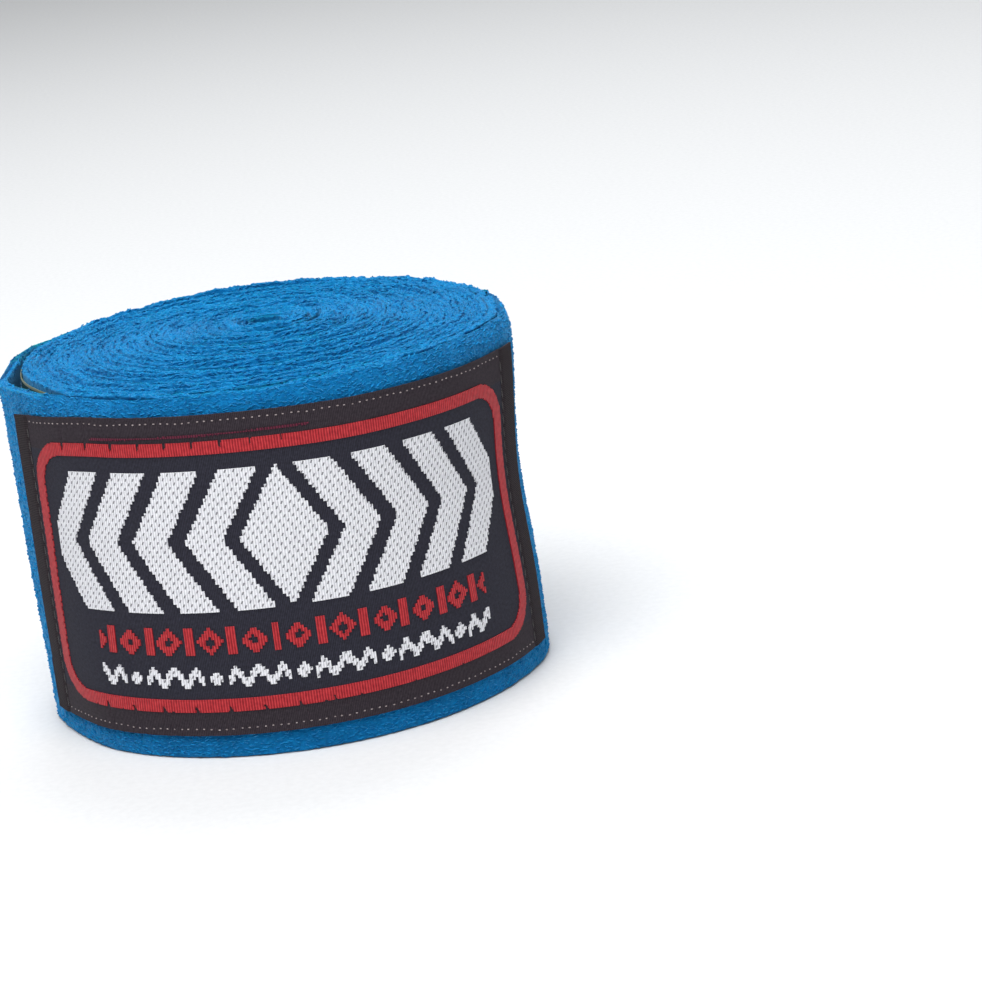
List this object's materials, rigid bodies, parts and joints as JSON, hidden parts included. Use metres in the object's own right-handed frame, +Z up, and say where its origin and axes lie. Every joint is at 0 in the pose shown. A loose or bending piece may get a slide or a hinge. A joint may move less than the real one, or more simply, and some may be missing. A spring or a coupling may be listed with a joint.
{
  "type": "boxing hand wrap",
  "caption": "Long terry hand wrap wound into a storage roll, with a thumb loop in its core and a hook-and-loop closure flap that carries a woven label.",
  "frame": {"origin": "on the surface that the roll stands on, under the middle of its outline", "axes": "+Z up along the winding axis, the label faces -Y, the flap's root is at -X and its pull tip at +X"},
  "size_m": [0.072, 0.069, 0.0528],
  "materials": {
    "terry": "matte",
    "thumb_tape": "matte",
    "loop_tape": "matte",
    "hook_tape": "matte",
    "label": "matte",
    "light_thread": "satin",
    "dark_thread": "satin",
    "blue_thread": "satin"
  },
  "bodies": {
    "roll": {"wrap_band": "terry", "thumb_loop": "thumb_tape", "thumb_loop_bar_tack": "blue_thread", "loop_tape": "loop_tape", "loop_tape_seam": "blue_thread"},
    "closure_flap": {"flap_band": "terry", "hook_tape": "hook_tape", "hook_tape_seam": "dark_thread", "woven_label": "label", "label_top_seam": "light_thread", "label_bottom_seam": "light_thread", "label_left_seam": "dark_thread", "label_right_seam": "dark_thread"},
    "pull_tip": {"tip_band": "terry", "tip_hem_seam": "blue_thread"}
  },
  "joints": [
    {"name": "closure_peel", "type": "hinge", "parent": "roll", "child": "closure_flap", "pos_m": [-0.0358, -0.00297, 0.0254], "axis": [0, 0, -1], "range_deg": [0, 120]},
    {"name": "tip_lift", "type": "hinge", "parent": "closure_flap", "child": "pull_tip", "pos_m": [0.03474, -0.00601, 0.0254], "axis": [0, 0, -1], "range_deg": [0, 75]}
  ]
}
